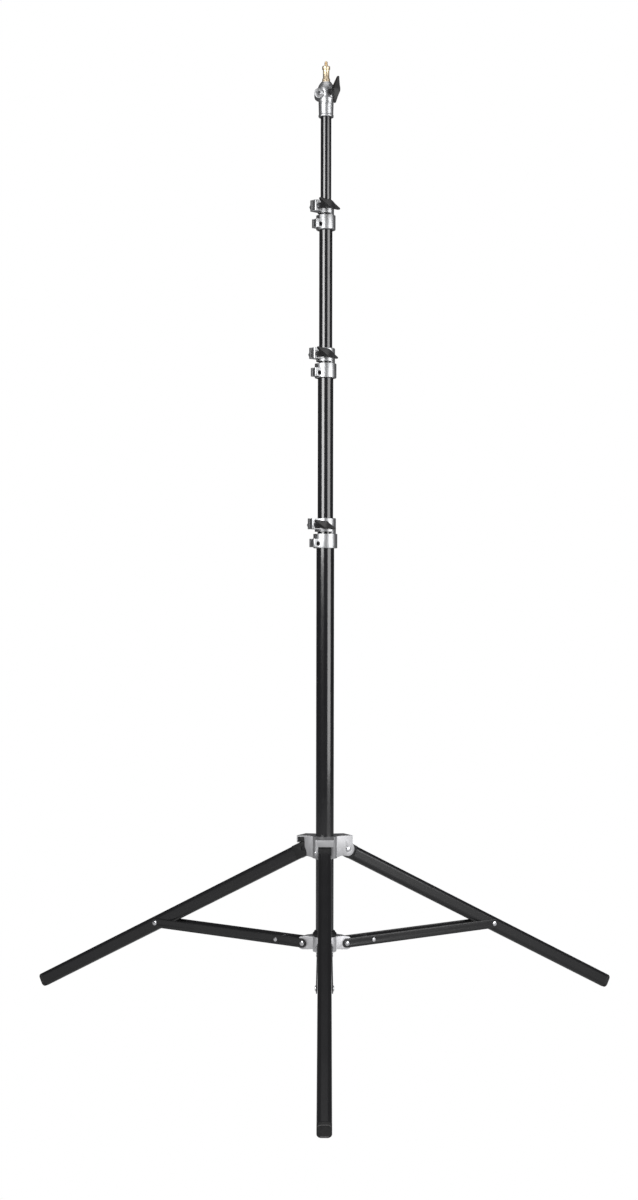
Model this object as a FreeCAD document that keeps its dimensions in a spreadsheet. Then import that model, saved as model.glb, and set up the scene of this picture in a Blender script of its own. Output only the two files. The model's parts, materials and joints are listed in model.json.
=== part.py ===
"""Four-section lighting stand on a folding tripod base.

Millimetres, +Z up. The origin is on the column's axis at floor level. Leg 1 points
along -Y, legs 2 and 3 point 30 and 150 degrees round from +X.
"""
import FreeCAD, Part
import Sketcher
import math
import os
from FreeCAD import Placement, Rotation, Vector

DOC = FreeCAD.newDocument("lighting_stand")
SHEET = DOC.addObject("Spreadsheet::Sheet", "sizes")

# Driving dimensions. Radii are outer radii unless the name says otherwise.
SIZES = {
    "wall": 1.5,
    "slide_gap": 0.3,
    "pin_gap": 0.05,
    # telescoping sections: radius, lower end and upper end of each tube
    "column_radius": 17.8, "column_bottom": 154.0, "column_top": 985.0,
    "riser1_radius": 15.5, "riser1_bottom": 465.0, "riser1_top": 1325.0,
    "riser2_radius": 13.2, "riser2_bottom": 780.0, "riser2_top": 1621.0,
    "riser3_radius": 10.7, "riser3_bottom": 1025.0, "riser3_top": 1850.0,
    "guide_flange": 10.0, "guide_plug": 25.0,
    # clamp collars: the lower ring grips the outer tube, the upper one the riser
    "lower_ring": 28.5, "slot_height": 4.5,
    "lower_ring_wall": 6.2, "upper_ring_wall": 5.6,
    "ear_half": 10.0, "ear_slit": 2.4,
    "upper_ear_height": 21.5,
    "lower_ear_base": 1.9, "lower_ear_height": 16.6, "lower_ear_short": 4.0,
    "collar_bevel": 0.9,
    "clamp_height": 9.0,
    "screw_radius": 3.0, "screw_hole": 3.3,
    "clamp_radius": 2.5, "clamp_head_radius": 4.6, "clamp_head_depth": 5.0,
    "nut_flats": 10.0, "nut_height": 5.0,
    # wing knob
    "hub_radius": 8.6, "hub_length": 14.0, "head_hub_length": 9.0, "wing_depth": 15.0,
    "wing_half": 27.0, "wing_middle": 8.4, "wing_tip": 3.2, "wing_tip_inset": 3.6,
    "screw_in_knob": 12.0,
    # head and spigot
    "head_bottom": 1818.0, "head_height": 70.0, "head_radius": 14.4,
    "head_rim_radius": 15.2, "head_rim_height": 4.0, "head_step": 34.0,
    "head_upper_radius": 17.4,
    "boss_offset": 13.6, "boss_height": 44.6, "boss_radius": 10.0, "boss_front": 17.0,
    "boss_back": 12.0, "boss_hole": 3.6,
    "head_knob_height": 45.6, "head_knob_boss": 9.4, "head_knob_face": 22.5,
    "socket_depth": 34.0, "spigot_radius": 8.0, "spigot_gap": 0.08,
    "spigot_height": 32.2, "stud_radius": 3.175, "stud_height": 10.0,
    # tripod
    "leg_length": 751.0, "leg_open_angle": 62.95, "pivot_radius": 44.0,
    "leg_width": 25.2, "leg_depth": 28.3, "leg_corner": 8.2,
    "leg_tube_start": 22.0, "leg_tube_end": 743.0,
    "leg_head_width": 25.0, "leg_head_tongue": 28.0, "pivot_bolt_radius": 4.0,
    "foot_start": 718.0,
    "brace_along_leg": 405.2, "brace_pin_height": 165.0,
    "brace_depth": 18.5, "bar_thick": 2.0, "bar_inside": 13.2,
    "brace_pin_radius": 4.0, "rivet_head_radius": 5.4, "rivet_head_height": 2.0,
    # top spider, heights measured from the leg pivots
    "hub_inner_gap": 0.3, "hub_radius_top": 25.0, "hub_up": 27.5, "hub_down": 16.0,
    "cheek_thick": 5.2, "cheek_inside": 12.8, "fork_reach": 54.5, "fork_end": 14.0,
    "roof_thick": 2.6, "lip_thick": 2.4, "lip_bottom": 12.6, "fork_corner_drop": 1.0,
    "short_cheek_reach": 37.0,
    "lock_boss_radius": 9.5, "lock_boss_reach": 31.0, "lock_boss_height": 1.0,
    # lower spider, heights measured from the brace pins
    "base_hub_radius": 23.5, "base_hub_up": 16.5, "base_hub_down": 13.5,
    "lug_half": 12.8, "lug_end": 13.0,
    "skirt_radius": 23.8, "skirt_straight": 6.0, "skirt_height": 10.5,
    "skirt_top_radius": 20.6,
    "cap_flange": 4.0, "cap_plug": 26.0,
}


def fill_sheet():
    """Write every driving dimension to the spreadsheet under its own alias."""
    for row, (alias, value) in enumerate(SIZES.items(), start=1):
        SHEET.set("A%d" % row, alias)
        SHEET.set("B%d" % row, str(value))
        SHEET.setAlias("B%d" % row, alias)
    DOC.recompute()


def size(alias):
    return float(SHEET.get(alias))


fill_sheet()

# ------------------------------------------------------------------ derived geometry
OPEN = math.radians(size("leg_open_angle"))
PIVOT_HEIGHT = size("leg_length") * math.cos(OPEN) + size("leg_depth") / 2 * math.sin(OPEN)
OUTER_PIN_RUN = size("brace_along_leg") * math.sin(OPEN)
OUTER_PIN_RISE = (PIVOT_HEIGHT - size("brace_along_leg") * math.cos(OPEN)
                  - size("brace_pin_height"))
BRACE_LENGTH = math.hypot(OUTER_PIN_RUN, OUTER_PIN_RISE)
BRACE_RISE_ANGLE = math.degrees(math.atan2(OUTER_PIN_RISE, OUTER_PIN_RUN))
LEG_AZIMUTHS = (270.0, 30.0, 150.0)
TUBES = ("column", "riser1", "riser2", "riser3")
# direction and height of each collar's ears and how far out its wing knob stands
COLLARS = (
    {"number": 1, "outer": "column", "inner": "riser1", "azimuth": 220.0, "reach": 39.5,
     "height": 60.0, "ear_base": 37.5, "knob_height": 45.8, "knob_out": 11.0, "tilt": -17.0},
    {"number": 2, "outer": "riser1", "inner": "riser2", "azimuth": 221.0, "reach": 37.0,
     "height": 59.5, "ear_base": 36.8, "knob_height": 45.5, "knob_out": 13.0, "tilt": -19.0},
    {"number": 3, "outer": "riser2", "inner": "riser3", "azimuth": 222.0, "reach": 35.0,
     "height": 57.0, "ear_base": 34.2, "knob_height": 43.8, "knob_out": 15.0, "tilt": -16.0},
)
KNOB_FROM_EAR_END = 9.5
CLAMP_FROM_EAR_END = 9.0
HEAD_KNOB_AZIMUTH = 298.0
STAY_AT = 62.0


# ---------------------------------------------------------------------- small helpers
def new_body(label):
    body = DOC.addObject("PartDesign::Body", label)
    body.Label = label
    return body


def origin_plane(body, role):
    return [part for part in body.Origin.OriginFeatures if part.Role == role][0]


def new_sketch(body, role="XY_Plane", lift=0.0, turn=0.0):
    """A sketch on an origin plane, moved along its normal by lift.

    turn swings the sketch about its own upright axis, in degrees.
    """
    sketch = body.newObject("Sketcher::SketchObject", body.Name + "_sketch")
    sketch.AttachmentSupport = [(origin_plane(body, role), "")]
    sketch.MapMode = "FlatFace"
    swing = Rotation(Vector(0, 1, 0), turn)
    if isinstance(lift, str):
        sketch.AttachmentOffset = Placement(Vector(0, 0, 0), swing)
        sketch.setExpression("AttachmentOffset.Base.z", lift)
    else:
        sketch.AttachmentOffset = Placement(swing.multVec(Vector(0, 0, lift)), swing)
    return sketch


def circle(sketch, expression, x=0.0, y=0.0):
    """A circle at x, y whose radius follows a spreadsheet expression."""
    index = sketch.addGeometry(Part.Circle(Vector(x, y, 0), Vector(0, 0, 1), 5.0), False)
    rule = sketch.addConstraint(Sketcher.Constraint("Radius", index, 5.0))
    sketch.setExpression("Constraints[%d]" % rule, expression)


def polygon(sketch, points):
    """A closed outline of straight edges."""
    for start, end in zip(points, points[1:] + points[:1]):
        sketch.addGeometry(Part.LineSegment(Vector(*start, 0), Vector(*end, 0)), False)


def chain(sketch, steps):
    """A closed outline. A step is a point, or a pair (point on an arc, arc's end)."""
    last = steps[-1][-1] if isinstance(steps[-1][0], tuple) else steps[-1]
    for step in steps:
        if isinstance(step[0], tuple):
            middle, end = step
            arc = Part.Arc(Vector(*last, 0), Vector(*middle, 0), Vector(*end, 0))
            sketch.addGeometry(arc, False)
        else:
            end = step
            if math.dist(last, end) > 1e-6:
                line = Part.LineSegment(Vector(*last, 0), Vector(*end, 0))
                sketch.addGeometry(line, False)
        last = end


def rounded_box(sketch, half_x, half_y, corner):
    """A rectangle with round corners about the sketch's origin."""
    bulge = corner * (1 - math.sqrt(0.5))
    steps = []
    for sx, sy in ((1, 1), (-1, 1), (-1, -1), (1, -1)):
        side = (sx * half_x, sy * (half_y - corner))
        flat = (sx * (half_x - corner), sy * half_y)
        middle = (sx * (half_x - bulge), sy * (half_y - bulge))
        first, second = (side, flat) if sx * sy > 0 else (flat, side)
        steps += [first, (middle, second)]
    chain(sketch, steps)


def feature(body, kind, sketch, length=None, reverse=False, both=False):
    """A Pad or a Pocket. No length on a Pocket means through everything."""
    made = body.newObject("PartDesign::" + kind, body.Name + "_" + kind.lower())
    made.Profile = sketch
    if length is None:
        made.Type = "ThroughAll"
        made.Midplane = both
    elif isinstance(length, str):
        made.setExpression("Length", length)
    else:
        made.Length = length
    made.Reversed = reverse
    DOC.recompute()
    return made


def pad(body, sketch, length, reverse=False):
    return feature(body, "Pad", sketch, length, reverse)


def pocket(body, sketch, length=None, reverse=False, both=False):
    before = body.Shape.Volume
    made = feature(body, "Pocket", sketch, length, reverse, both)
    if body.Shape.Volume >= before - 0.01:
        raise RuntimeError("a pocket cuts nothing in " + body.Label)
    return made


def around(body, features, sketch, count=3):
    """Repeat features about the normal of a sketch."""
    pattern = body.newObject("PartDesign::PolarPattern", body.Name + "_pattern")
    pattern.Originals = features
    pattern.Axis = (sketch, ["N_Axis"])
    pattern.Angle = 360
    pattern.Occurrences = count
    body.Tip = pattern
    DOC.recompute()
    return pattern


def turned(label, profile):
    """A solid of revolution about Z from (radius, height) corners."""
    body = new_body(label)
    sketch = new_sketch(body, "XZ_Plane")
    polygon(sketch, profile)
    spin = body.newObject("PartDesign::Revolution", body.Name + "_revolution")
    spin.Profile = sketch
    spin.ReferenceAxis = (sketch, ["V_Axis"])
    spin.Angle = 360
    return body


def soften(body, amount, test, kind="Fillet"):
    """Fillet or chamfer the edges that pass a test."""
    DOC.recompute()
    names = ["Edge%d" % number for number, edge in enumerate(body.Shape.Edges, start=1)
             if test(edge)]
    base = body.Tip
    made = body.newObject("PartDesign::" + kind, body.Name + "_" + kind.lower())
    made.Base = (base, names)
    if kind == "Fillet":
        made.setExpression("Radius", amount)
    else:
        made.setExpression("Size", amount)
    DOC.recompute()
    if not names or "Invalid" in made.State:
        raise RuntimeError("no %s on %s: %s" % (kind, body.Label, names))


def ring_edge_at(height, least_radius):
    """A test for round outer edges that lie flat at a height."""
    def test(edge):
        box = edge.BoundBox
        round_edge = isinstance(edge.Curve, Part.Circle) and edge.Curve.Radius > least_radius
        return round_edge and abs(box.ZMin - height) < 0.01 and abs(box.ZMax - height) < 0.01
    return test


def place(body, x=0.0, y=0.0, z=0.0, rotation=None, z_cell=None):
    body.Placement = Placement(Vector(x, y, z), rotation or Rotation())
    if z_cell:
        body.setExpression("Placement.Base.z", z_cell)


def about_z(angle):
    return Rotation(Vector(0, 0, 1), angle)


def about_y(angle):
    return Rotation(Vector(0, 1, 0), angle)


def group(label, bodies):
    """Several identical solids in one node."""
    compound = DOC.addObject("Part::Compound", label)
    compound.Label = label
    compound.Links = bodies
    return compound


# ---------------------------------------------------------------- telescoping sections
def tube(name):
    body = new_body(name if name == "column" else name[:5] + "_" + name[5:])
    body.Label = {"column": "column_tube"}.get(name, "riser_%s_tube" % name[-1])
    sketch = new_sketch(body, lift="sizes.%s_bottom" % name)
    circle(sketch, "sizes.%s_radius" % name)
    circle(sketch, "sizes.%s_radius - sizes.wall" % name)
    pad(body, sketch, "sizes.%s_top - sizes.%s_bottom" % (name, name))
    return body


def riser_guide(name, outer):
    """A nylon bush under the riser's lower end: a flange that slides in the tube
    outside it, and a plug inside the riser."""
    inside = size(name + "_radius") - size("wall")
    flange = size(outer + "_radius") - size("wall") - size("slide_gap")
    bore = inside - 1.8
    low, high = 0.0, size("guide_flange")
    top = high + size("guide_plug")
    body = turned("riser_%s_guide" % name[-1],
                  [(bore, low), (flange - 1, low), (flange, low + 1), (flange, high),
                   (inside, high), (inside, top - 1), (inside - 0.8, top), (bore, top)])
    place(body, z_cell="sizes.%s_bottom - sizes.guide_flange" % name)
    return body


def column_end_cap():
    outer, inside = size("column_radius"), size("column_radius") - size("wall")
    low, high = size("cap_flange"), size("cap_flange") + size("cap_plug")
    body = turned("column_end_cap",
                  [(0, 0), (outer - 2, 0), (outer, 2), (outer, low), (inside, low),
                   (inside, high), (inside - 3, high), (inside - 3, low - 3),
                   (0, low - 3)])
    place(body, z_cell="sizes.column_bottom - sizes.cap_flange")
    return body


# --------------------------------------------------------------------- clamp collars
def ear_outline(sketch, reach, half):
    """An ear from the axis out to its reach, with round outer corners."""
    corner = 4.0
    bulge = corner * (1 - math.sqrt(0.5))
    chain(sketch, [(4.0, -half), (reach - corner, -half),
                   ((reach - bulge, -half + bulge), (reach, -half + corner)),
                   (reach, half - corner),
                   ((reach - bulge, half - bulge), (reach - corner, half)), (4.0, half)])


def collar(spec):
    """One casting: a lower ring for the outer tube, an upper ring for the riser and a
    slot between them on the side of the ears. The ears point along local +X."""
    number, outer, inner = spec["number"], spec["outer"], spec["inner"]
    body = new_body("collar_%d_casting" % number)
    neck = new_sketch(body)
    circle(neck, "sizes.%s_radius + sizes.upper_ring_wall" % inner)
    pad(body, neck, spec["height"])
    lower = new_sketch(body)
    circle(lower, "sizes.%s_radius + sizes.lower_ring_wall" % outer)
    pad(body, lower, "sizes.lower_ring")
    high_ear = new_sketch(body, lift=spec["ear_base"])
    ear_outline(high_ear, spec["reach"], size("ear_half"))
    pad(body, high_ear, "sizes.upper_ear_height")
    low_ear = new_sketch(body, lift="sizes.lower_ear_base")
    ear_outline(low_ear, spec["reach"] - size("lower_ear_short"), size("ear_half") - 0.5)
    pad(body, low_ear, "sizes.lower_ear_height")
    ring_top = size("lower_ring")
    for height in (0.0, spec["height"]):
        soften(body, "sizes.collar_bevel", ring_edge_at(height, 12.0), "Chamfer")
    riser_bore = new_sketch(body, lift=spec["height"])
    circle(riser_bore, "sizes.%s_radius + sizes.slide_gap" % inner)
    pocket(body, riser_bore)
    tube_bore = new_sketch(body, lift="sizes.lower_ring")
    circle(tube_bore, "sizes.%s_radius" % outer)
    pocket(body, tube_bore, "sizes.lower_ring")
    slot = new_sketch(body, lift=ring_top + size("slot_height"))
    polygon(slot, [(1.0, -40), (60, -40), (60, 40), (1.0, 40)])
    pocket(body, slot, "sizes.slot_height")
    slit = new_sketch(body, lift=spec["height"])
    half_slit = size("ear_slit") / 2
    polygon(slit, [(6, -half_slit), (60, -half_slit), (60, half_slit), (6, half_slit)])
    pocket(body, slit)
    knob_at = spec["reach"] - KNOB_FROM_EAR_END
    screw_hole = new_sketch(body, "XZ_Plane")
    circle(screw_hole, "sizes.screw_hole", knob_at, spec["knob_height"])
    pocket(body, screw_hole, both=True)
    clamp_at = spec["reach"] - size("lower_ear_short") - CLAMP_FROM_EAR_END
    clamp_hole = new_sketch(body, "XZ_Plane")
    circle(clamp_hole, "sizes.clamp_radius", clamp_at, size("clamp_height"))
    pocket(body, clamp_hole, both=True)
    recess = new_sketch(body, "XZ_Plane", lift=-size("ear_half") - 1.0)
    circle(recess, "sizes.clamp_head_radius", clamp_at, size("clamp_height"))
    pocket(body, recess, "sizes.clamp_head_depth + 2", reverse=True)
    place(body, rotation=about_z(spec["azimuth"]),
          z_cell="sizes.%s_top - sizes.lower_ring" % outer)
    return body


def collar_frame(spec, local, extra=None):
    """A placement given in the collar's own frame, turned to the collar's azimuth."""
    base = size(spec["outer"] + "_top") - size("lower_ring")
    home = Placement(Vector(0, 0, base), about_z(spec["azimuth"]))
    return home.multiply(Placement(local, extra or Rotation()))


def wing_knob(label, hub_cell="hub_length"):
    """A moulded wing nut on a round hub. The hub starts at z = 0 and its axis is Z."""
    body = new_body(label)
    hub = new_sketch(body)
    circle(hub, "sizes.hub_radius")
    pad(body, hub, "sizes.%s + 2" % hub_cell)
    wing = new_sketch(body, lift="sizes.%s" % hub_cell)
    half, middle, tip = size("wing_half"), size("wing_middle"), size("wing_tip")
    inset = half - size("wing_tip_inset")
    chain(wing, [(-inset, tip), ((0, middle), (inset, tip)), ((half, 0), (inset, -tip)),
                 ((0, -middle), (-inset, -tip)), ((-half, 0), (-inset, tip))])
    pad(body, wing, "sizes.wing_depth")
    bore = new_sketch(body)
    circle(bore, "sizes.screw_radius")
    pocket(body, bore, "sizes.screw_in_knob", reverse=True)
    return body


def screw(label, below, above):
    """A plain stud about Z that passes z = 0, with a chamfered lower end."""
    size_radius = size("screw_radius")
    return turned(label, [(0, -below), (size_radius - 0.8, -below),
                          (size_radius, -below + 0.8), (size_radius, above), (0, above)])


def hexagon(sketch, flats, x=0.0, y=0.0):
    corner = flats / math.sqrt(3)
    polygon(sketch, [(x + corner * math.cos(math.radians(60 * i)),
                      y + corner * math.sin(math.radians(60 * i))) for i in range(6)])


def hex_nut(label):
    body = new_body(label)
    outline = new_sketch(body)
    hexagon(outline, size("nut_flats"))
    pad(body, outline, "sizes.nut_height")
    bore = new_sketch(body, lift="sizes.nut_height")
    circle(bore, "sizes.screw_hole")
    pocket(body, bore)
    return body


def socket_screw(label, length):
    """A cap screw: the head is below z = 0 and the shank runs up to length."""
    body = new_body(label)
    head = new_sketch(body)
    circle(head, "sizes.clamp_head_radius")
    pad(body, head, "sizes.clamp_head_depth", reverse=True)
    shank = new_sketch(body)
    circle(shank, "sizes.clamp_radius")
    pad(body, shank, length)
    drive = new_sketch(body, lift="-sizes.clamp_head_depth")
    hexagon(drive, 4.6)
    pocket(body, drive, 3.4, reverse=True)
    return body


def collar_fittings(spec):
    """Wing knob, its stud and nut, and the cap screw that grips the lower tube."""
    number = spec["number"]
    knob_at = spec["reach"] - KNOB_FROM_EAR_END
    height = spec["knob_height"]
    outward = Rotation(Vector(1, 0, 0), -90)
    tilted = outward.multiply(about_z(spec["tilt"]))
    knob = wing_knob("collar_%d_knob" % number)
    home = Vector(knob_at, spec["knob_out"], height)
    knob.Placement = collar_frame(spec, home, tilted)
    through = spec["knob_out"] + size("ear_half") + size("nut_height") + 2.5
    stud = screw("collar_%d_knob_stud" % number, through, size("screw_in_knob"))
    stud.Placement = collar_frame(spec, home, outward)
    nut = hex_nut("collar_%d_nut" % number)
    nut_home = Vector(knob_at, -size("ear_half") - size("nut_height"), height)
    nut.Placement = collar_frame(spec, nut_home, outward)
    clamp_at = spec["reach"] - size("lower_ear_short") - CLAMP_FROM_EAR_END
    face = size("ear_half") + 1.0 - size("clamp_head_depth") - 2
    clamp = socket_screw("collar_%d_clamp_screw" % number, size("ear_half") + face + 1.5)
    clamp.Placement = collar_frame(spec, Vector(clamp_at, face, size("clamp_height")),
                                   Rotation(Vector(1, 0, 0), 90))
    return [knob, stud, nut, clamp]


# ------------------------------------------------------------------- head and spigot
def head_casting():
    """The socket on the top riser. The lock knob's boss points along local +X."""
    body = new_body("head_casting")
    side = new_sketch(body, "XZ_Plane")
    rim, waist = size("head_rim_radius"), size("head_radius")
    wide, top = size("head_upper_radius"), size("head_height")
    rim_top, step = size("head_rim_height"), size("head_step")
    chain(side, [(0, 0), (rim - 0.8, 0), (rim, 0.8), (rim, rim_top), (waist, rim_top + 1),
                 (waist + 0.7, step - 6), ((waist + 1.1, step), (wide, step + 6)),
                 (wide, step + 16), ((wide - 1.7, top - 9), (wide - 6.2, top - 1.5)),
                 (wide - 7.2, top), (0, top)])
    spin = body.newObject("PartDesign::Revolution", "head_revolution")
    spin.Profile = side
    spin.ReferenceAxis = (side, ["V_Axis"])
    spin.Angle = 360
    DOC.recompute()
    lean = HEAD_KNOB_AZIMUTH - 360.0
    boss = new_sketch(body, "XZ_Plane", lift=-size("boss_back"), turn=-lean)
    circle(boss, "sizes.boss_radius", -size("boss_offset"), size("boss_height"))
    pad(body, boss, "sizes.boss_back + sizes.boss_front")
    knob_boss = new_sketch(body, "YZ_Plane")
    circle(knob_boss, "sizes.head_knob_boss", 0.0, size("head_knob_height"))
    pad(body, knob_boss, "sizes.head_knob_face")
    tube_bore = new_sketch(body)
    circle(tube_bore, "sizes.riser3_radius")
    pocket(body, tube_bore, "sizes.riser3_top - sizes.head_bottom", reverse=True)
    socket = new_sketch(body, lift="sizes.head_height")
    circle(socket, "sizes.spigot_radius + sizes.spigot_gap")
    pocket(body, socket, "sizes.socket_depth")
    hole = new_sketch(body, "YZ_Plane")
    circle(hole, "sizes.screw_hole", 0.0, size("head_knob_height"))
    pocket(body, hole, reverse=True)
    boss_hole = new_sketch(body, "XZ_Plane", lift=size("boss_front"), turn=-lean)
    circle(boss_hole, "sizes.boss_hole", -size("boss_offset"), size("boss_height"))
    pocket(body, boss_hole, 7.0)
    place(body, rotation=about_z(HEAD_KNOB_AZIMUTH), z_cell="sizes.head_bottom")
    return body


def head_knob_parts():
    outward = about_z(HEAD_KNOB_AZIMUTH).multiply(Rotation(Vector(0, 1, 0), 90))
    start = size("head_knob_face") + 1.5
    reach = about_z(HEAD_KNOB_AZIMUTH).multVec(Vector(start, 0, 0))
    height = size("head_bottom") + size("head_knob_height")
    knob = wing_knob("head_knob", "head_hub_length")
    place(knob, reach.x, reach.y, height, outward.multiply(about_z(8.0)))
    stud = screw("head_knob_stud", start - size("spigot_radius") - 0.5,
                 size("screw_in_knob"))
    place(stud, reach.x, reach.y, height, outward)
    return [knob, stud]


def spigot():
    """A 16 mm brass stud with a retaining groove and a small threaded end."""
    full, top = size("spigot_radius"), size("spigot_height")
    waist, foot, stud = full - 1.6, full + 0.7, size("stud_radius")
    end = top + size("stud_height")
    profile = [(0, -size("socket_depth") + 0.3), (full - 1, -size("socket_depth") + 0.3),
               (full, -size("socket_depth") + 1.3), (full, 0), (foot, 0.0), (foot, 1.2),
               (full, 2.0), (full, 5.5), (waist, 9.5), (waist, top - 8.0),
               (full, top - 5.8), (full, top - 0.8), (full - 0.8, top), (stud, top),
               (stud, end - 0.8), (stud - 0.8, end), (0, end)]
    body = turned("spigot", profile)
    place(body, z_cell="sizes.head_bottom + sizes.head_height")
    return body


# ------------------------------------------------------------------------ top spider
def fork_profile(sketch):
    """The side view of one fork: round about the leg pivot, with a square top heel."""
    pivot, end = size("pivot_radius"), size("fork_end")
    reach, up = size("fork_reach"), size("hub_up")
    top = up - size("fork_corner_drop")
    heel = math.sqrt(end ** 2 - (reach - pivot) ** 2)
    low = math.radians(250)
    foot = (pivot + end * math.cos(low), end * math.sin(low))
    chain(sketch, [(12.0, up), (34.0, up), (reach, top), (reach, heel),
                   ((pivot + end * math.cos(math.radians(330)),
                     end * math.sin(math.radians(330))), foot),
                   (30.0, -size("hub_down") + 4.0), (12.0, -size("hub_down"))])


def top_spider():
    """Sliding hub with three forks. Its first fork points along local +X; each fork has
    a full cheek on one side, a roof with a front lip and a short cheek opposite."""
    body = new_body("top_spider")
    ring = new_sketch(body, lift="-sizes.hub_down")
    circle(ring, "sizes.hub_radius_top")
    pad(body, ring, "sizes.hub_up + sizes.hub_down")
    cheek_sketch = new_sketch(body, "XZ_Plane", lift="sizes.cheek_inside")
    fork_profile(cheek_sketch)
    circle(cheek_sketch, "sizes.pivot_bolt_radius", size("pivot_radius"), 0.0)
    cheek = pad(body, cheek_sketch, "sizes.cheek_thick")
    across = size("cheek_inside") + size("cheek_thick")
    reach, up = size("fork_reach"), size("hub_up")
    top = up - size("fork_corner_drop")
    roof_sketch = new_sketch(body, "XZ_Plane", lift=-across)
    polygon(roof_sketch, [(12.0, up), (34.0, up), (reach, top),
                          (reach, size("lip_bottom")),
                          (reach - size("lip_thick"), size("lip_bottom")),
                          (reach - size("lip_thick"), top - size("roof_thick")),
                          (34.0, up - size("roof_thick")), (12.0, up - size("roof_thick"))])
    roof = pad(body, roof_sketch, "2 * (sizes.cheek_inside + sizes.cheek_thick)")
    short_sketch = new_sketch(body, "XZ_Plane", lift=-across)
    short = size("short_cheek_reach")
    polygon(short_sketch, [(12.0, up), (34.0, up), (short, up - 1.0), (short - 1.5, 4.0),
                           (short - 5, -2.0), (short - 6, -size("hub_down") + 3.0),
                           (12.0, -size("hub_down"))])
    short_cheek = pad(body, short_sketch, "sizes.cheek_thick")
    around(body, [cheek, roof, short_cheek], ring)
    lock_boss = new_sketch(body, "YZ_Plane", lift=-size("lock_boss_reach"))
    circle(lock_boss, "sizes.lock_boss_radius", 0.0, size("lock_boss_height"))
    pad(body, lock_boss, 14.0)
    bore = new_sketch(body, lift="sizes.hub_up")
    circle(bore, "sizes.column_radius + sizes.hub_inner_gap")
    pocket(body, bore)
    lock_hole = new_sketch(body, "YZ_Plane")
    circle(lock_hole, "sizes.screw_hole", 0.0, size("lock_boss_height"))
    pocket(body, lock_hole)
    place(body, z=PIVOT_HEIGHT, rotation=about_z(LEG_AZIMUTHS[0]))
    return body


def stop_pads():
    """Black pads inside the forks, against which the leg heads stop when open."""
    pads = []
    pivot, reach = size("pivot_radius"), size("fork_reach")
    clear = size("fork_end") + 1.2
    top = size("hub_up") - size("roof_thick") - 0.05
    front = reach - size("lip_thick")
    slope = math.radians(size("leg_open_angle"))
    touch = (pivot + clear * math.cos(slope), clear * math.sin(slope))
    crown = (pivot + clear * math.cos(math.radians(95)), clear * math.sin(math.radians(95)))
    for number, azimuth in enumerate(LEG_AZIMUTHS, start=1):
        body = new_body("stop_pad_%d" % number)
        sketch = new_sketch(body, "XZ_Plane", lift=-size("cheek_inside") - 4.6)
        back = size("short_cheek_reach") + 0.2
        chain(sketch, [(back, top - 0.5), (front, top - size("fork_corner_drop")),
                       (front, touch[1] - 0.6), touch,
                       ((pivot + clear * math.cos(math.radians(80)),
                         clear * math.sin(math.radians(80))), crown), (back, crown[1])])
        pad(body, sketch, 2 * size("cheek_inside") + 4.6)
        place(body, z=PIVOT_HEIGHT, rotation=about_z(azimuth))
        pads.append(body)
    return group("leg_stop_pads", pads)


def pivot_bolts():
    """A shoulder bolt for each leg: head outside the full cheek, end in the leg head."""
    bolts = []
    outside = size("cheek_inside") + size("cheek_thick")
    full, head = size("pivot_bolt_radius"), 5.6
    for number, azimuth in enumerate(LEG_AZIMUTHS, start=1):
        end = outside + size("leg_head_width") / 2 - 1.5
        body = turned("pivot_bolt_%d" % number,
                      [(0, -2.2), (head - 1.6, -2.2), (head - 0.5, -1.6), (head, -0.4),
                       (head, 0), (full, 0), (full, end), (0, end)])
        spot = about_z(azimuth).multVec(Vector(size("pivot_radius"), -outside, 0))
        across = about_z(azimuth).multiply(Rotation(Vector(1, 0, 0), -90))
        place(body, spot.x, spot.y, PIVOT_HEIGHT, across)
        bolts.append(body)
    return group("leg_pivot_bolts", bolts)


def spider_lock():
    """The knob behind the top spider that grips the column."""
    back = LEG_AZIMUTHS[0] + 180.0
    outward = about_z(back).multiply(Rotation(Vector(0, 1, 0), 90))
    start = size("lock_boss_reach") + 1.5
    spot = about_z(back).multVec(Vector(start, 0, 0))
    height = PIVOT_HEIGHT + size("lock_boss_height")
    knob = wing_knob("spider_knob")
    place(knob, spot.x, spot.y, height, outward)
    stud = screw("spider_knob_stud", start - size("column_radius") - 0.4,
                 size("screw_in_knob"))
    place(stud, spot.x, spot.y, height, outward)
    return [knob, stud]


# ------------------------------------------------------------------------------ legs
def leg_placement(azimuth):
    spot = about_z(azimuth).multVec(Vector(size("pivot_radius"), 0, PIVOT_HEIGHT))
    tilt = about_y(90.0 - size("leg_open_angle"))
    return Placement(spot, about_z(azimuth).multiply(tilt))


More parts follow.
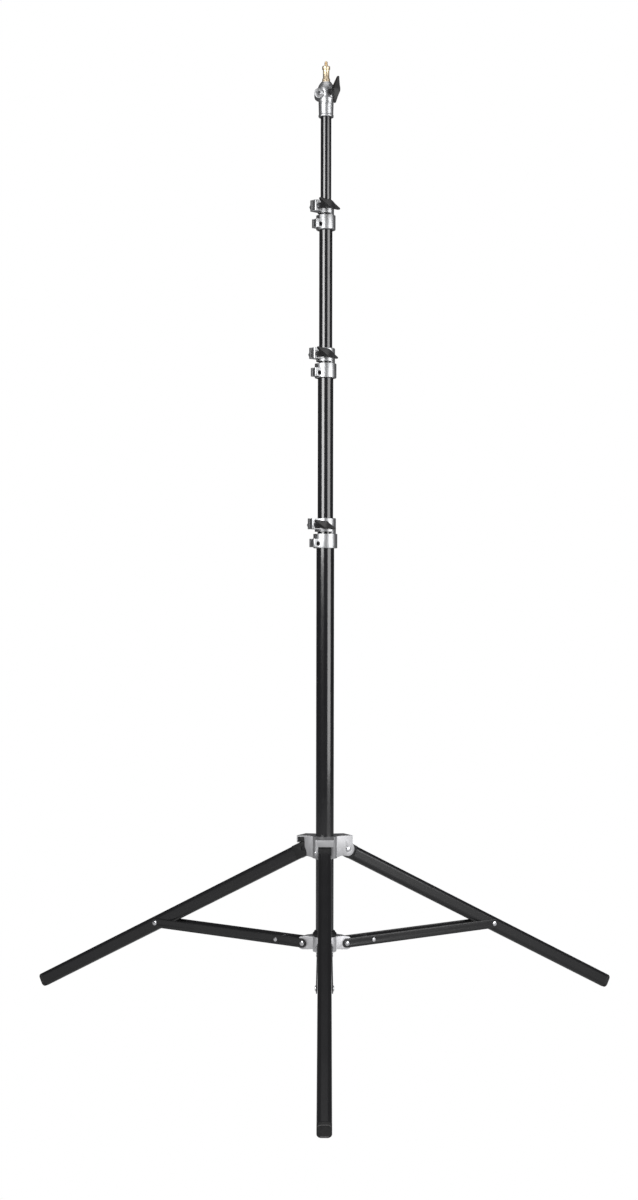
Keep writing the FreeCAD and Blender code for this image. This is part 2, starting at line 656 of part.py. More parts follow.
def leg(number, azimuth):
    """Leg tube, moulded head, rubber foot and the sleeve for the brace rivets.

    Local X runs down the leg from its pivot.
    """
    half_w, half_d, corner = size("leg_width") / 2, size("leg_depth") / 2, size("leg_corner")
    wall = size("wall")
    tube_body = new_body("leg_%d_tube" % number)
    outline = new_sketch(tube_body, "YZ_Plane", lift="sizes.leg_tube_start")
    rounded_box(outline, half_w, half_d, corner)
    rounded_box(outline, half_w - wall, half_d - wall, corner - wall)
    pad(tube_body, outline, "sizes.leg_tube_end - sizes.leg_tube_start")
    cross = new_sketch(tube_body, "XZ_Plane")
    circle(cross, "sizes.brace_pin_radius", size("brace_along_leg"), 0.0)
    pocket(tube_body, cross, both=True)

    head = new_body("leg_%d_head" % number)
    end, start = size("fork_end"), size("leg_tube_start")
    side = new_sketch(head, "XZ_Plane", lift="-sizes.leg_head_width / 2")
    chain(side, [(start, half_d), (4.0, end), ((-end, 0), (4.0, -end)), (start, -half_d)])
    circle(side, "sizes.pivot_bolt_radius + sizes.pin_gap")
    pad(head, side, "sizes.leg_head_width")
    tongue = new_sketch(head, "YZ_Plane", lift="sizes.leg_tube_start")
    rounded_box(tongue, half_w - wall, half_d - wall, corner - wall)
    pad(head, tongue, "sizes.leg_head_tongue")

    foot = new_body("leg_%d_foot" % number)
    cap = new_sketch(foot, "YZ_Plane", lift="sizes.leg_tube_end")
    rounded_box(cap, half_w, half_d, corner)
    pad(foot, cap, "sizes.leg_length - sizes.leg_tube_end")
    plug = new_sketch(foot, "YZ_Plane", lift="sizes.foot_start")
    rounded_box(plug, half_w - wall, half_d - wall, corner - wall)
    pad(foot, plug, "sizes.leg_tube_end - sizes.foot_start")

    sleeve = new_body("leg_%d_sleeve" % number)
    barrel = new_sketch(sleeve, "XZ_Plane", lift=-half_w - 0.1)
    circle(barrel, "sizes.brace_pin_radius", size("brace_along_leg"), 0.0)
    circle(barrel, "sizes.brace_pin_radius - 1.2", size("brace_along_leg"), 0.0)
    pad(sleeve, barrel, 2 * half_w + 0.2)
    for body in (tube_body, head, foot, sleeve):
        body.Placement = leg_placement(azimuth)
    return [tube_body, head, foot, sleeve]


# ----------------------------------------------------------------- braces and base
def brace_placement(azimuth):
    spot = about_z(azimuth).multVec(
        Vector(size("pivot_radius"), 0, size("brace_pin_height")))
    return Placement(spot, about_z(azimuth).multiply(about_y(-BRACE_RISE_ANGLE)))


def brace(number, azimuth):
    """Two flat bars that straddle the leg, joined by rivets. Local X runs outwards."""
    half = size("brace_depth") / 2
    parts = []
    for side, lift in (("left", -size("bar_inside") - size("bar_thick")),
                       ("right", size("bar_inside"))):
        bar = new_body("brace_%d_%s_bar" % (number, side))
        outline = new_sketch(bar, "XZ_Plane", lift=lift)
        chain(outline, [(0, half), (BRACE_LENGTH, half),
                        ((BRACE_LENGTH + half, 0), (BRACE_LENGTH, -half)), (0, -half),
                        ((-half, 0), (0, half))])
        for along, cell in ((0.0, "sizes.brace_pin_radius + sizes.pin_gap"),
                            (BRACE_LENGTH, "sizes.brace_pin_radius"),
                            (STAY_AT, "sizes.clamp_radius")):
            circle(outline, cell, along, 0.0)
        pad(bar, outline, "sizes.bar_thick")
        bar.Placement = brace_placement(azimuth)
        parts.append(bar)
    inner, outer = size("bar_inside"), size("bar_inside") + size("bar_thick")
    head = size("rivet_head_radius")
    stub = size("leg_width") / 2 + 0.4
    rivets = []
    for side, spin in ((1, -90), (-1, 90)):
        rivet = turned("brace_%d_rivet_%d" % (number, 1 if side > 0 else 2),
                       [(0, stub), (size("brace_pin_radius"), stub),
                        (size("brace_pin_radius"), outer), (head, outer),
                        (head - 0.4, outer + 1.2), (head - 2.4, outer + 2.0),
                        (0, outer + 2.0)])
        rivet.Placement = brace_placement(azimuth).multiply(
            Placement(Vector(BRACE_LENGTH, 0, 0), Rotation(Vector(1, 0, 0), spin)))
        rivets.append(rivet)
    shank = size("clamp_radius")
    stay = turned("brace_%d_stay" % number,
                  [(0, -outer - 1.2), (shank + 1.4, -outer - 1.2), (shank + 1.4, -outer),
                   (shank, -outer), (shank, -inner), (shank + 1.5, -inner),
                   (shank + 1.5, inner), (shank, inner), (shank, outer),
                   (shank + 1.4, outer), (shank + 1.4, outer + 1.2), (0, outer + 1.2)])
    stay.Placement = brace_placement(azimuth).multiply(
        Placement(Vector(STAY_AT, 0, 0), Rotation(Vector(1, 0, 0), -90)))
    parts.append(group("brace_%d_rivets" % number, rivets + [stay]))
    return parts



def lower_spider():
    """Fixed hub with one lug for each brace. Its first lug points along local +X."""
    body = new_body("lower_spider")
    ring = new_sketch(body, lift="-sizes.base_hub_down")
    circle(ring, "sizes.base_hub_radius")
    pad(body, ring, "sizes.base_hub_up + sizes.base_hub_down")
    lug_sketch = new_sketch(body, "XZ_Plane", lift="-sizes.lug_half")
    pivot, end = size("pivot_radius"), size("lug_end")
    chain(lug_sketch, [(10.0, size("base_hub_up") - 1.5), (pivot - 8, size("base_hub_up") - 1.5),
                       (pivot, end), ((pivot + end, 0), (pivot, -end)),
                       (22.0, -size("base_hub_down") + 3.0),
                       (10.0, -size("base_hub_down") + 3.0)])
    circle(lug_sketch, "sizes.brace_pin_radius", pivot, 0.0)
    lug = pad(body, lug_sketch, "2 * sizes.lug_half")
    around(body, [lug], ring)
    bore = new_sketch(body, lift="sizes.base_hub_up")
    circle(bore, "sizes.column_radius")
    pocket(body, bore)
    place(body, z_cell="sizes.brace_pin_height", rotation=about_z(LEG_AZIMUTHS[0]))
    return body


def lower_skirt():
    """The flared bush above the lower spider, tight round the column."""
    inner, wide = size("column_radius"), size("skirt_radius")
    straight, height = size("skirt_straight"), size("skirt_height")
    body = turned("lower_skirt", [(inner, 0), (wide, 0), (wide, straight),
                                  (size("skirt_top_radius") + 1.2, height - 3.0),
                                  (size("skirt_top_radius"), height), (inner, height)])
    place(body, z_cell="sizes.brace_pin_height + sizes.base_hub_up")
    return body


def brace_pins():
    """The three rivets on which the braces turn, fixed in the lower spider."""
    pins = []
    head, full = size("rivet_head_radius"), size("brace_pin_radius")
    outer = size("bar_inside") + size("bar_thick") + size("slide_gap")
    rise = size("rivet_head_height")
    for number, azimuth in enumerate(LEG_AZIMUTHS, start=1):
        body = turned("brace_pin_%d" % number,
                      [(0, -outer - rise), (head - 2, -outer - rise),
                       (head, -outer - 0.6), (head, -outer), (full, -outer),
                       (full, outer), (head, outer), (head, outer + 0.6),
                       (head - 2, outer + rise), (0, outer + rise)])
        spot = about_z(azimuth).multVec(Vector(size("pivot_radius"), 0, 0))
        across = about_z(azimuth).multiply(Rotation(Vector(1, 0, 0), -90))
        place(body, spot.x, spot.y, size("brace_pin_height"), across)
        pins.append(body)
    return group("brace_pins", pins)


# ---------------------------------------------------------------------------- export
def build():
    parts = [tube(name) for name in TUBES]
    parts += [riser_guide(inner, outer) for outer, inner in zip(TUBES, TUBES[1:])]
    parts.append(column_end_cap())
    for spec in COLLARS:
        parts.append(collar(spec))
        parts += collar_fittings(spec)
    parts.append(head_casting())
    parts += head_knob_parts()
    parts.append(spigot())
    parts += [top_spider(), stop_pads(), pivot_bolts()]
    parts += spider_lock()
    for number, azimuth in enumerate(LEG_AZIMUTHS, start=1):
        parts += leg(number, azimuth)
        parts += brace(number, azimuth)
    parts += [lower_spider(), lower_skirt(), brace_pins()]
    return parts


def check(parts):
    """Stop if any object failed, or if a sub-part is empty or not valid."""
    DOC.recompute()
    failed = [item.Label for item in DOC.Objects
              if "Invalid" in item.State or "Error" in item.State]
    if failed:
        raise RuntimeError("failed objects: " + ", ".join(failed))
    for item in parts:
        if item.Shape.isNull() or not item.Shape.isValid() or not item.Shape.Solids:
            raise RuntimeError("bad shape: " + item.Label)


PARTS = build()
check(PARTS)
os.makedirs("parts", exist_ok=True)
for sub_part in PARTS:
    sub_part.Shape.exportStep(os.path.join("parts", sub_part.Label + ".step"))
    bounds = sub_part.Shape.BoundBox
    print("%-26s %2d solid(s) %9.0f mm3  z %7.1f to %7.1f" % (
        sub_part.Label, len(sub_part.Shape.Solids), sub_part.Shape.Volume,
        bounds.ZMin, bounds.ZMax))
print("%d nodes, leg pivot at %.2f mm, brace %.2f mm long, rising %.3f degrees" % (
    len(PARTS), PIVOT_HEIGHT, BRACE_LENGTH, BRACE_RISE_ANGLE))
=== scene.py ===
"""Looks of the telescoping lighting stand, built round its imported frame. Metres, +Z up."""
import json
import math
import bpy
from mathutils import Matrix, Vector


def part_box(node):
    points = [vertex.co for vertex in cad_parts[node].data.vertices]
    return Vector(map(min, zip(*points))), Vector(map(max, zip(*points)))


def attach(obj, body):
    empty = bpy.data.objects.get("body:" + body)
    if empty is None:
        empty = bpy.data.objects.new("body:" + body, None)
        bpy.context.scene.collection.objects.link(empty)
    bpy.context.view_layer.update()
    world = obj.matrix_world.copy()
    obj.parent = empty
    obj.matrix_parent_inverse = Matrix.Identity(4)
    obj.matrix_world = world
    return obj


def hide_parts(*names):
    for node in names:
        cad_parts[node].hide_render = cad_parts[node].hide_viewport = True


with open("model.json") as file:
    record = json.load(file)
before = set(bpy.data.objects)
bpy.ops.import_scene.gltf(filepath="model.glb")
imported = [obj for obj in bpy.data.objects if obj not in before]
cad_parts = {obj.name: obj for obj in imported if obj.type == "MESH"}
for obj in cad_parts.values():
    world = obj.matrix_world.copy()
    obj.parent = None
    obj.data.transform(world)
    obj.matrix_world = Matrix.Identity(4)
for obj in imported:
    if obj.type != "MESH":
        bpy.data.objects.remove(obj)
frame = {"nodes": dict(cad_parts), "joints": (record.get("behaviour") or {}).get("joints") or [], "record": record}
for spare in ("Cube", "Light", "Camera"):
    if spare in bpy.data.objects:
        bpy.data.objects.remove(bpy.data.objects[spare])
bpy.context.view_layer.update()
MM = 0.001
JOINTS = {joint["name"]: joint for joint in frame["joints"]}
SLOTS = {part["node"]: part["material_slot"] for part in frame["record"]["subparts"]}
BODY_OF = {node: body for body, members in frame["record"]["behaviour"]["bodies"].items()
           for node in members}


# ------------------------------------------------------------------- selecting and shaping
def only(piece):
    """Select one object and make it the active one."""
    bpy.ops.object.select_all(action="DESELECT")
    piece.select_set(True)
    bpy.context.view_layer.objects.active = piece


def edit(piece, pick=None, kind="VERT"):
    """Enter edit mode with the chosen vertices or faces selected, or with all of them."""
    only(piece)
    bpy.ops.object.mode_set(mode="EDIT")
    bpy.ops.mesh.select_mode(type=kind)
    bpy.ops.mesh.select_all(action="SELECT" if pick is None else "DESELECT")
    if pick is None:
        return
    bpy.ops.object.mode_set(mode="OBJECT")
    items = piece.data.vertices if kind == "VERT" else piece.data.polygons
    for item in items:
        item.select = pick(item.co if kind == "VERT" else item)
    bpy.ops.object.mode_set(mode="EDIT")


def done():
    """Leave edit mode."""
    bpy.ops.object.mode_set(mode="OBJECT")


def modify(piece, kind, **settings):
    """Add a modifier with its settings and apply it."""
    only(piece)
    made = piece.modifiers.new(kind.title(), kind)
    for key, value in settings.items():
        setattr(made, key, value)
    bpy.ops.object.modifier_apply(modifier=made.name)


def bevel(piece, width, segments=3, above=35.0):
    """Round the edges that turn by more than an angle in degrees."""
    modify(piece, "BEVEL", width=width, segments=segments, limit_method="ANGLE",
           angle_limit=math.radians(above))


def smooth(piece, above=40.0):
    """Shade smoothly over the edges that turn by less than an angle in degrees."""
    only(piece)
    bpy.ops.object.shade_smooth_by_angle(angle=math.radians(above))


def settle(piece, matrix):
    """Move the mesh by a matrix, so that the object itself stays at the origin."""
    bpy.context.view_layer.update()
    piece.matrix_world = matrix @ piece.matrix_world
    only(piece)
    bpy.ops.object.transform_apply(location=True, rotation=True, scale=True)


def joined(name, pieces):
    """Join several objects into the first one and name it."""
    only(pieces[0])
    for piece in pieces[1:]:
        piece.select_set(True)
    if len(pieces) > 1:
        bpy.ops.object.join()
    result = bpy.context.view_layer.objects.active
    result.name = name
    result.data.name = name
    return result


def copy_of(piece, name):
    """A copy with its own mesh."""
    twin = piece.copy()
    twin.data = piece.data.copy()
    twin.name = name
    twin.data.name = name
    bpy.context.scene.collection.objects.link(twin)
    return twin


def finished(piece, body, slot, material, *nodes):
    """Give a piece its finish, let it ride on its body and hide the nodes it stands for."""
    piece.data.materials.clear()
    piece.data.materials.append(material)
    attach(piece, body)
    if nodes:
        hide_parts(*nodes)
    return piece


def cylinder(radius, low, high, sides):
    """A cylinder about +Z between two heights."""
    bpy.ops.mesh.primitive_cylinder_add(vertices=sides, radius=radius, depth=high - low,
                                        location=(0, 0, (low + high) / 2))
    piece = bpy.context.view_layer.objects.active
    settle(piece, Matrix.Identity(4))
    return piece


# ------------------------------------------------------------------------ shader graphs
class Wire:
    """A socket of a shader graph that takes part in sums."""

    def __init__(self, finish, socket):
        self.finish, self.socket = finish, socket

    def _sum(self, operation, first, second):
        return self.finish.node("Math", {"operation": operation}, {0: first, 1: second})

    def __add__(self, other):
        return self._sum("ADD", self, other)

    __radd__ = __add__

    def __rsub__(self, other):
        return self._sum("SUBTRACT", other, self)

    def __mul__(self, other):
        return self._sum("MULTIPLY", self, other)

    __rmul__ = __mul__


class Finish:
    """A material and the graph that feeds its shader."""

    def __init__(self, name, **constants):
        self.material = bpy.data.materials.new(name)
        self.material.use_nodes = True
        self.tree = self.material.node_tree
        self.shader = self.tree.nodes["Principled BSDF"]
        for key, value in constants.items():
            self.shader.inputs[key.replace("_", " ")].default_value = value

    def node(self, kind, settings=None, sockets=None, output=0):
        """A node of a kind. Its settings come first, then values or wires for its sockets."""
        made = self.tree.nodes.new("ShaderNode" + kind)
        for key, value in (settings or {}).items():
            if key == "stops":
                stops = made.color_ramp.elements
                while len(stops) < len(value):
                    stops.new(1.0)
                for stop, (place, level) in zip(stops, value):
                    stop.position = place
                    stop.color = (level, level, level, 1.0)
            else:
                setattr(made, key, value)
        for key, value in (sockets or {}).items():
            self.feed(made.inputs[key], value)
        return Wire(self, made.outputs[output])

    def feed(self, socket, value):
        if isinstance(value, Wire):
            self.tree.links.new(value.socket, socket)
        else:
            socket.default_value = value

    def place(self, scale=(1.0, 1.0, 1.0), turn=(0.0, 0.0, 0.0)):
        """Object coordinates, stretched and turned."""
        home = self.node("TexCoord", output=3)
        return self.node("Mapping", None, {"Vector": home, "Scale": scale, "Rotation": turn})

    def noise(self, scale, detail=3.0, stretch=(1.0, 1.0, 1.0), rough=0.55):
        return self.node("TexNoise", None, {"Vector": self.place(stretch), "Scale": scale,
                                            "Detail": detail, "Roughness": rough})

    def ramp(self, wire, *stops):
        return self.node("ValToRGB", {"stops": stops}, {0: wire})

    def colour(self, mask, first, second):
        """A blend from one colour to another."""
        return self.node("Mix", {"data_type": "RGBA"},
                         {0: mask, 6: (*first, 1.0), 7: (*second, 1.0)}, output=2)

    def bump(self, height, strength, distance):
        return self.node("Bump", None, {"Strength": strength, "Distance": distance,
                                        "Height": height})

    def wear(self, **inputs):
        """Feed wires to the shader's own sockets."""
        for key, value in inputs.items():
            self.feed(self.shader.inputs[key.replace("_", " ")], value)
        return self.material


def anodised_tube():
    """Gloss black anodising with faint drawing lines and a few rubbed patches."""
    look = Finish("black_anodised", Specular_IOR_Level=0.62, Coat_Roughness=0.06,
                  Coat_IOR=1.5)
    lines = look.noise(900.0, 2.0, stretch=(1.0, 1.0, 0.012))
    cloud = look.noise(14.0, 4.0)
    rub = look.ramp(look.noise(60.0, 5.0, stretch=(1.0, 1.0, 0.35)), (0.60, 0.0), (0.78, 1.0))
    return look.wear(
        Base_Color=look.colour(cloud, (0.0070, 0.0070, 0.0080), (0.0130, 0.0130, 0.0140)),
        Roughness=0.12 + 0.07 * lines + 0.05 * cloud + 0.08 * rub,
        Coat_Weight=0.35 - 0.2 * rub,
        Normal=look.bump(lines, 0.10, 0.00004))


def satin_black():
    """Satin black paint on the legs and braces, with a fine skin."""
    look = Finish("black_satin", Specular_IOR_Level=0.5)
    skin = look.noise(1500.0, 3.0)
    cloud = look.noise(22.0, 4.0)
    scuff = look.ramp(look.noise(85.0, 6.0, stretch=(1.0, 1.0, 0.4)), (0.66, 0.0), (0.82, 1.0))
    return look.wear(
        Base_Color=look.colour(cloud * 0.6 + scuff * 0.4, (0.0090, 0.0090, 0.0098),
                               (0.0150, 0.0150, 0.0160)),
        Roughness=0.26 + 0.06 * cloud + 0.10 * scuff,
        Normal=look.bump(skin, 0.22, 0.00006))


def bright_casting():
    """Tumbled die-cast alloy on the collars and the head."""
    look = Finish("cast_alloy", Metallic=1.0)
    grain = look.noise(1100.0, 4.0)
    cloud = look.noise(70.0, 4.0)
    pits = look.ramp(look.noise(650.0, 2.0), (0.70, 0.0), (0.80, 1.0))
    return look.wear(
        Base_Color=look.colour(cloud * 0.7 + pits * 0.3, (0.48, 0.485, 0.49),
                               (0.31, 0.315, 0.325)),
        Roughness=0.38 + 0.10 * cloud + 0.10 * pits,
        Normal=look.bump(grain * 0.6 + pits * -0.4, 0.10, 0.00004))


def tumbled_casting():
    """Coarser casting of the head, mottled where the tumbling stones have struck it."""
    look = Finish("cast_alloy_coarse", Metallic=1.0)
    dents = look.node("TexVoronoi", {"feature": "SMOOTH_F1"},
                      {"Vector": look.place(), "Scale": 330.0})
    grain = look.noise(700.0, 5.0, rough=0.7)
    cloud = look.noise(150.0, 4.0)
    return look.wear(
        Base_Color=look.colour(cloud, (0.66, 0.665, 0.675), (0.30, 0.305, 0.315)),
        Roughness=0.34 + 0.16 * cloud,
        Normal=look.bump(dents * 0.7 + grain * 0.3, 0.75, 0.00035))


def sand_casting(name, light, dark):
    """Duller cast alloy of the two spiders. The lower spider's copy is painted paler, as painted light."""
    look = Finish(name, Metallic=1.0)
    grain = look.noise(520.0, 5.0, rough=0.7)
    cloud = look.noise(55.0, 4.0)
    return look.wear(
        Base_Color=look.colour(cloud, (light, light, light * 1.02),
                               (dark, dark, dark * 1.03)),
        Roughness=0.50 + 0.10 * grain,
        Normal=look.bump(grain, 0.25, 0.00009))


def moulded_nylon():
    """Black glass-filled nylon with a spark-eroded texture."""
    look = Finish("nylon", Specular_IOR_Level=0.42)
    grain = look.noise(1300.0, 4.0, rough=0.7)
    cloud = look.noise(40.0, 3.0)
    return look.wear(
        Base_Color=look.colour(cloud, (0.0050, 0.0050, 0.0055), (0.0100, 0.0100, 0.0106)),
        Roughness=0.42 + 0.14 * grain,
        Normal=look.bump(grain, 0.45, 0.00010))


def turned_brass():
    """Lathe-turned brass with fine rings."""
    look = Finish("brass", Metallic=1.0)
    rings = look.noise(1.0, 2.0, stretch=(60.0, 60.0, 5200.0))
    cloud = look.noise(120.0, 4.0)
    return look.wear(
        Base_Color=look.colour(cloud, (0.88, 0.74, 0.54), (0.80, 0.65, 0.45)),
        Roughness=0.36 + 0.08 * rings + 0.08 * cloud,
        Normal=look.bump(rings, 0.10, 0.00003))


def plated_steel():
    """Zinc-plated rivets, studs and nuts."""
    look = Finish("steel", Metallic=1.0)
    cloud = look.noise(260.0, 4.0)
    grain = look.noise(1600.0, 2.0)
    return look.wear(
        Base_Color=look.colour(cloud, (0.80, 0.80, 0.82), (0.62, 0.63, 0.65)),
        Roughness=0.20 + 0.14 * cloud,
        Normal=look.bump(grain, 0.2, 0.00005))


def oxide_steel():
    """Black oxide on the cap screws."""
    look = Finish("black_steel", Metallic=0.6, Specular_IOR_Level=0.5)
    cloud = look.noise(240.0, 4.0)
    return look.wear(
        Base_Color=look.colour(cloud, (0.016, 0.016, 0.018), (0.032, 0.032, 0.034)),
        Roughness=0.32 + 0.12 * cloud)


def soft_rubber():
    """Black rubber of the feet, dusty where it has been handled."""
    look = Finish("rubber", Specular_IOR_Level=0.35)
    grain = look.noise(900.0, 4.0, rough=0.7)
    dust = look.ramp(look.noise(50.0, 5.0), (0.45, 0.0), (0.80, 1.0))
    return look.wear(
        Base_Color=look.colour(dust, (0.0130, 0.0130, 0.0135), (0.0300, 0.0295, 0.0290)),
        Roughness=0.55 + 0.18 * grain,
        Normal=look.bump(grain, 0.5, 0.00014))


def painted_highlight_rubber():
    """The same rubber painted pale along an edge, as a painted highlight."""
    look = Finish("rubber_painted_highlight", Specular_IOR_Level=0.35)
    # This noise mottles the pale painted highlight and its roughness.
    wear = look.noise(260.0, 5.0)
    return look.wear(
        Base_Color=look.colour(wear, (0.0500, 0.0495, 0.0490), (0.1500, 0.1485, 0.1470)),
        Roughness=0.45 + 0.20 * wear)


LOOKS = {"black_anodised": anodised_tube(), "black_satin": satin_black(),
         "cast_alloy": bright_casting(), "nylon": moulded_nylon(), "brass": turned_brass(),
         "steel": plated_steel(), "black_steel": oxide_steel(), "rubber": soft_rubber()}
DULL_CASTING = sand_casting("cast_alloy_dull", 0.52, 0.40)
# A paler copy of the spider casting, which stands in for the light on the lower spider's lugs: painted light.
PAINTED_LIGHT_CASTING = sand_casting("cast_alloy_painted_light", 0.74, 0.60)
COARSE_CASTING = tumbled_casting()
# Pale rubber for the painted highlight on the upper edges of the feet.
PAINTED_HIGHLIGHT_RUBBER = painted_highlight_rubber()


def material_of(node):
    if node == "top_spider":
        return DULL_CASTING
    # The lower spider gets the paler copy of the casting, which is painted light.
    if node == "lower_spider":
        return PAINTED_LIGHT_CASTING
    if node == "head_casting":
        return COARSE_CASTING
    return LOOKS[SLOTS[node]]


def dress_frame():
    """Every carried-over node gets its finish."""
    for node, piece in frame["nodes"].items():
        if not piece.material_slots:
            piece.data.materials.append(None)
        for holder in piece.material_slots:
            holder.material = material_of(node)


# ------------------------------------------------------------------------------ pieces
def rounded(node, width, segments=3, above=35.0):
    """A copy of a node with its triangles joined and its sharp edges rounded."""
    piece = copy_of(frame["nodes"][node], node + "_rounded")
    for key in list(piece.keys()):
        del piece[key]
    piece.parent = None
    edit(piece)
    bpy.ops.mesh.customdata_custom_splitnormals_clear()
    bpy.ops.mesh.remove_doubles(threshold=0.002 * MM)
    bpy.ops.mesh.dissolve_limited(angle_limit=math.radians(0.5))
    done()
    bevel(piece, width, segments, above)
    smooth(piece)
    return finished(piece, BODY_OF[node], SLOTS[node], material_of(node), node)


def second_finish(piece, material, pick):
    """Give the chosen faces another finish."""
    piece.data.materials.append(material)
    edit(piece, pick, "FACE")
    piece.active_material_index = 1
    bpy.ops.object.material_slot_assign()
    done()


FASTENER_EDGE = 0.3 * MM
OPEN_SIDE_FROM = 6.0 * MM


def pivot_bolts():
    """The three leg bolts, plated at the head and blackened at the open side."""
    piece = rounded("leg_pivot_bolts", FASTENER_EDGE)
    pivots = [Vector(JOINTS["leg_%d_fold" % number]["pos_m"]) for number in (1, 2, 3)]

    def open_side(face):
        home = min(pivots, key=lambda pivot: (pivot - face.center).length)
        head_side = Vector((home.y, -home.x, 0.0)).normalized()
        return (face.center - home).dot(head_side) < -OPEN_SIDE_FROM

    second_finish(piece, LOOKS["black_steel"], open_side)


FOOT_EDGE, FOOT_RIM, FOOT_RECESS = 2.0 * MM, 2.6 * MM, 0.9 * MM


def foot(leg):
    """A rubber cap with a painted highlight on its upper edge and a shallow recess in its end face."""
    piece = rounded(leg + "_foot", FOOT_EDGE, 4)
    low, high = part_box(leg + "_foot")
    along = ((low + high) / 2 - Vector(JOINTS[leg + "_fold"]["pos_m"])).normalized()
    edit(piece, lambda face: face.normal.dot(along) > 0.98 and face.area > 1e-4, "FACE")
    bpy.ops.mesh.inset(thickness=FOOT_RIM)
    bpy.ops.transform.translate(value=along * -FOOT_RECESS)
    done()
    upward = (Vector((0, 0, 1)) - along * along.z).normalized()
    # The upward-facing faces of the rounded end edge get the pale rubber, which is a painted highlight.
    second_finish(piece, PAINTED_HIGHLIGHT_RUBBER, lambda face: (
        0.3 < face.normal.dot(along) < 0.95 and face.normal.dot(upward) > 0.3))


LEG_HEAD_EDGE, BRACE_BAR_EDGE = 1.0 * MM, 0.45 * MM
ROUNDED = {
    0.9 * MM: ("head_casting", "top_spider", "lower_spider"),
    0.7 * MM: ("collar_1_casting", "collar_2_casting", "collar_3_casting"),
    FASTENER_EDGE: ("collar_1_nut", "collar_2_nut", "collar_3_nut", "brace_pins"),
    0.5 * MM: ("lower_skirt", "leg_stop_pads"),
}


def rounded_pieces():
    """Every casting, moulding and fastener with sharp edges in the frame."""
    for width, nodes in ROUNDED.items():
        for node in nodes:
            rounded(node, width)
    pivot_bolts()
    for number in (1, 2, 3):
        rounded("leg_%d_head" % number, LEG_HEAD_EDGE)
        foot("leg_%d" % number)
        rounded("brace_%d_rivets" % number, FASTENER_EDGE)
        for side in ("left", "right"):
            rounded("brace_%d_%s_bar" % (number, side), BRACE_BAR_EDGE)


HUB_RADIUS, HUB_INTO_WING, HUB_RIM, HUB_RECESS = 6.4 * MM, 4.0 * MM, 1.6 * MM, 1.2 * MM
WING_SWEEP = 3.0 * MM
HUB_LENGTH, HEAD_HUB_LENGTH = 14.0 * MM, 9.0 * MM
WING_HALF, WING_DEPTH, WING_THICK = 27.0 * MM, 15.0 * MM, 15.6 * MM


def wing_knob(hub_length):
    """A moulded wing on a round hub. The hub starts at z = 0 and its axis is +Z."""
    hub = cylinder(HUB_RADIUS, 0.0, hub_length + HUB_INTO_WING, 40)
    edit(hub, lambda face: face.normal.z < -0.9, "FACE")
    bpy.ops.mesh.inset(thickness=HUB_RIM)
    bpy.ops.mesh.extrude_region_move(TRANSFORM_OT_translate={"value": (0, 0, HUB_RECESS)})
    done()
    bevel(hub, 0.5 * MM, 2)
    middle = hub_length + WING_DEPTH / 2
    bpy.ops.mesh.primitive_cube_add(size=2.0, location=(0, 0, middle))
    wing = bpy.context.view_layer.objects.active
    wing.scale = (WING_HALF, WING_THICK / 2, WING_DEPTH / 2)
    settle(wing, Matrix.Identity(4))
    edit(wing)
    bpy.ops.mesh.subdivide(number_cuts=7)
    done()
    for place in (0.25, 0.5, 0.75, 1.0):
        thin = 1.0 - 0.80 * place ** 0.8
        shallow = 1.0 - 0.66 * place
        for side in (-1, 1):
            at = side * place * WING_HALF
            edit(wing, lambda co: abs(co.x - at) < 0.2 * MM)
            bpy.ops.transform.resize(value=(1.0, thin, shallow), center_override=(
                at, 0.0, middle))
            bpy.ops.transform.translate(value=(0.0, 0.0, WING_SWEEP * place ** 2))
            done()
    modify(wing, "SUBSURF", levels=2, render_levels=2)
    knob = joined("wing_knob", [hub, wing])
    smooth(knob, 35.0)
    return knob


def toward(axis, twist):
    """A rotation that takes +Z to an axis, with X level and then twisted about it."""
    out = Vector(axis).normalized()
    level = Vector((0, 0, 1)).cross(out).normalized()
    up = out.cross(level)
    base = Matrix((level, up, out)).transposed().to_4x4()
    return base @ Matrix.Rotation(math.radians(twist), 4, "Z")


# How far each wing is turned about its own axis, in degrees.
KNOBS = {"collar_1_knob": -17.0, "collar_2_knob": -19.0, "collar_3_knob": -16.0,
         "head_knob": 82.0, "spider_knob": 90.0}


def wing_knobs():
    """One wing knob at each knob joint, pointing along the joint's axis."""
    for node, twist in KNOBS.items():
        joint = JOINTS[node + "_turn"]
        piece = wing_knob(HEAD_HUB_LENGTH if node == "head_knob" else HUB_LENGTH)
        piece.name = piece.data.name = node + "_wing"
        settle(piece, Matrix.Translation(joint["pos_m"]) @ toward(joint["axis"], twist))
        finished(piece, BODY_OF[node], SLOTS[node], LOOKS["nylon"], node)


STUD_ROOT, STUD_CREST, THREAD_PITCH = 2.55 * MM, 3.16 * MM, 1.27 * MM
STUD_HEIGHT, SPIGOT_EDGE = 10.0 * MM, 0.25 * MM


def spigot():
    """The brass spigot with a cut thread on its stud."""
    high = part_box("spigot")[1]
    shoulder = high.z - STUD_HEIGHT
    piece = rounded("spigot", SPIGOT_EDGE, 2)
    slim = STUD_ROOT / STUD_CREST
    edit(piece, lambda co: co.z > shoulder + 0.3 * MM)
    bpy.ops.transform.resize(value=(slim, slim, 1.0), center_override=(0, 0, high.z))
    done()
    bpy.ops.mesh.primitive_circle_add(vertices=3, radius=0.5 * THREAD_PITCH,
                                      location=(STUD_ROOT + 0.2 * MM, 0, shoulder + THREAD_PITCH),
                                      rotation=(math.radians(90), math.radians(90), 0))
    thread = bpy.context.view_layer.objects.active
    settle(thread, Matrix.Identity(4))
    turns = int((STUD_HEIGHT - 2 * THREAD_PITCH) / THREAD_PITCH)
    modify(thread, "SCREW", angle=math.tau, screw_offset=THREAD_PITCH, iterations=turns,
           steps=32, render_steps=32, use_merge_vertices=True)
    thread.name = "spigot_thread"
    smooth(thread, 30.0)
    finished(thread, "spigot", "brass", LOOKS["brass"])


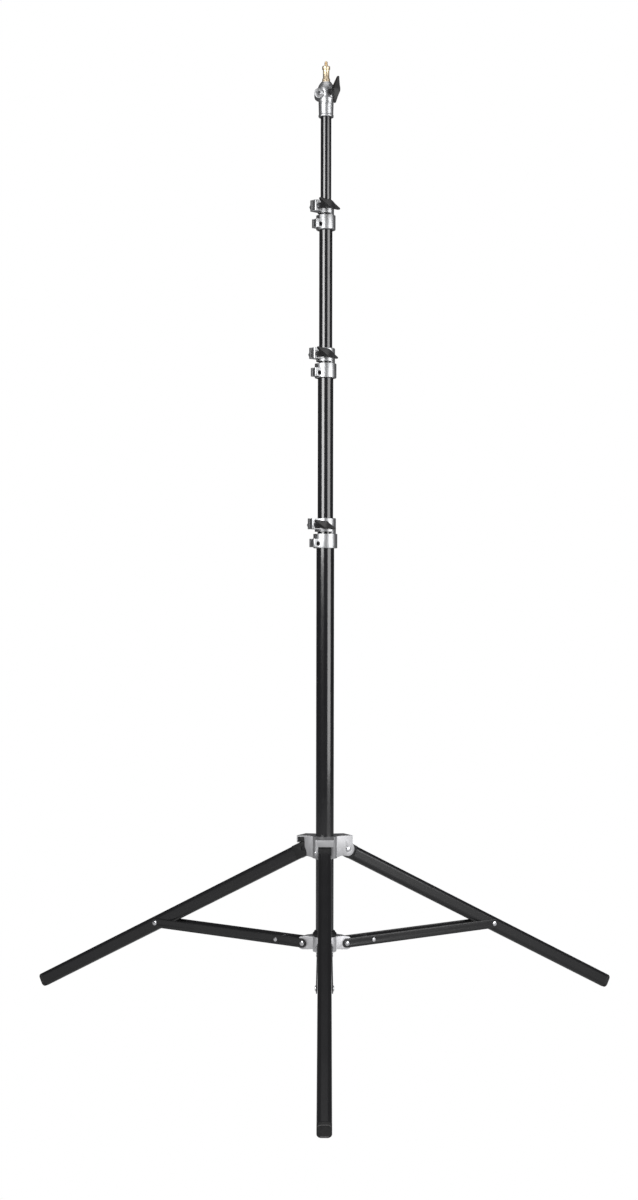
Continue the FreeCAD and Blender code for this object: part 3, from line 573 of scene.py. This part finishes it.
# --------------------------------------------------------------------- floor and light
def floor():
    """A pale floor that the eye sees evenly lit and the stand sees as soft paper."""
    bpy.ops.mesh.primitive_plane_add(size=60.0, location=(0, 0, 0))
    ground = bpy.context.view_layer.objects.active
    ground.name = "floor"
    look = Finish("pale_floor", Roughness=0.8, Specular_IOR_Level=0.2)
    look.wear(Base_Color=look.colour(look.noise(3.0, 2.0), (0.62, 0.62, 0.62),
                                     (0.64, 0.64, 0.64)))
    lit = look.node("Emission", None, {"Color": (1.0, 1.0, 1.0, 1.0), "Strength": 1.0})
    paper = Wire(look, look.shader.outputs[0])
    seen = look.node("MixShader", None, {0: look.node("LightPath"), 1: paper, 2: lit})
    look.feed(look.tree.nodes["Material Output"].inputs["Surface"], seen)
    ground.data.materials.append(look.material)


def softbox(name, place, aim, width, height, power):
    """A rectangular area lamp turned to face a point."""
    bpy.ops.object.light_add(type="AREA", location=place)
    lamp = bpy.context.view_layer.objects.active
    lamp.name = name
    lamp.data.shape = "RECTANGLE"
    lamp.data.size, lamp.data.size_y = width, height
    lamp.data.energy = power
    lamp.rotation_euler = (Vector(aim) - Vector(place)).to_track_quat("-Z", "Y").to_euler()


def lights():
    """A large box on each side in front and a weak one overhead."""
    softbox("left_softbox", (-1.72, -2.21, 1.80), (0, 0, 1.80), 1.75, 1.65, 90.0)
    softbox("right_softbox", (2.24, -1.69, 1.40), (0, 0, 1.40), 2.1, 2.4, 75.0)
    softbox("top_softbox", (0.0, -0.6, 4.0), (0, 0, 0.6), 2.0, 2.0, 18.0)


def surroundings():
    """White paper behind the stand, and a dim room in its reflections."""
    world = bpy.data.worlds.new("studio")
    bpy.context.scene.world = world
    world.use_nodes = True
    tree = world.node_tree
    room = tree.nodes["Background"]
    room.inputs["Color"].default_value = (0.06, 0.06, 0.062, 1.0)
    paper = tree.nodes.new("ShaderNodeBackground")
    paper.inputs["Color"].default_value = (1.0, 1.0, 1.0, 1.0)
    path = tree.nodes.new("ShaderNodeLightPath")
    blend = tree.nodes.new("ShaderNodeMixShader")
    tree.links.new(path.outputs["Is Camera Ray"], blend.inputs[0])
    tree.links.new(room.outputs[0], blend.inputs[1])
    tree.links.new(paper.outputs[0], blend.inputs[2])
    tree.links.new(blend.outputs[0], tree.nodes["World Output"].inputs["Surface"])
    bpy.context.scene.view_settings.view_transform = "Standard"


EYE_AT = (0.0, -3.52, 0.891)
EYE_ROLL = -0.1


def camera():
    """A level camera in front, at a little under half the stand's height."""
    bpy.ops.object.camera_add(location=EYE_AT, rotation=(
        math.radians(90), math.radians(EYE_ROLL), 0))
    eye = bpy.context.view_layer.objects.active
    eye.data.lens = 52.8
    eye.data.sensor_width = 36.0
    eye.data.shift_x, eye.data.shift_y = -0.0052, -0.0158
    bpy.context.scene.camera = eye


dress_frame()
rounded_pieces()
wing_knobs()
spigot()
floor()
lights()
surroundings()
camera()
